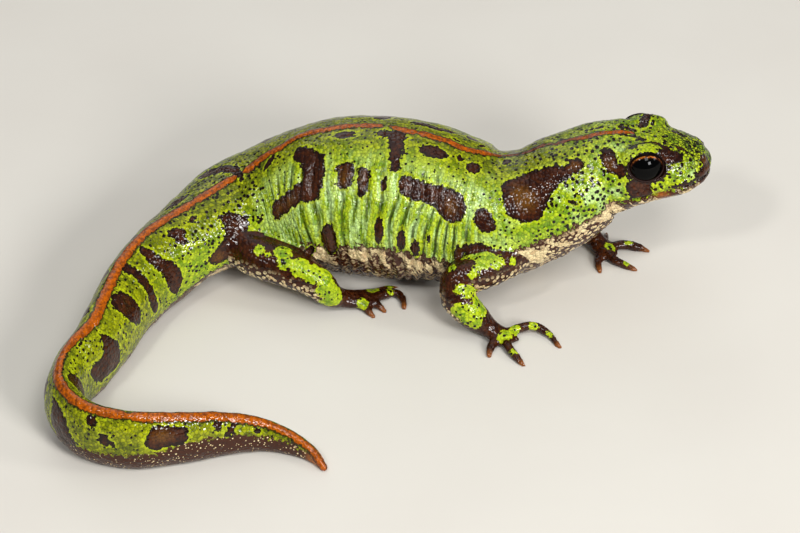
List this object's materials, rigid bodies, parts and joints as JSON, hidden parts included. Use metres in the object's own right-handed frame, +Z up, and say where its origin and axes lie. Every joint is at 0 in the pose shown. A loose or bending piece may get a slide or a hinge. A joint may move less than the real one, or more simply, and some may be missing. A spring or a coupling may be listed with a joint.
{
  "type": "southern marbled newt",
  "caption": "Marbled newt standing on all feet with its head raised and its tail curled round, a still life-size display model.",
  "frame": {"origin": "centre of the bounding box at floor level, Z = 0 being the level on which belly, hands, feet and the tail's lower edge rest", "axes": "+X towards the snout, +Y to the animal's left, +Z up"},
  "size_m": [0.0636, 0.0502, 0.0168],
  "materials": {
    "skin": "moist, finely granular skin, yellow-green with dark brown blotches and an orange stripe down the back",
    "eye": "wet, black pupil in a copper ring"
  },
  "bodies": {
    "root": {"head": "skin", "lower_jaw": "skin", "eye_left": "eye", "eye_right": "eye", "neck": "skin", "chest": "skin", "trunk": "skin", "pelvis": "skin", "tail_base": "skin", "tail_middle": "skin", "tail_bend": "skin", "tail_end": "skin", "upper_arm_right": "skin", "forearm_right": "skin", "hand_right": "skin", "upper_arm_left": "skin", "forearm_left": "skin", "hand_left": "skin", "thigh_right": "skin", "shin_right": "skin", "foot_right": "skin", "thigh_left": "skin", "shin_left": "skin", "foot_left": "skin"}
  },
  "joints": []
}
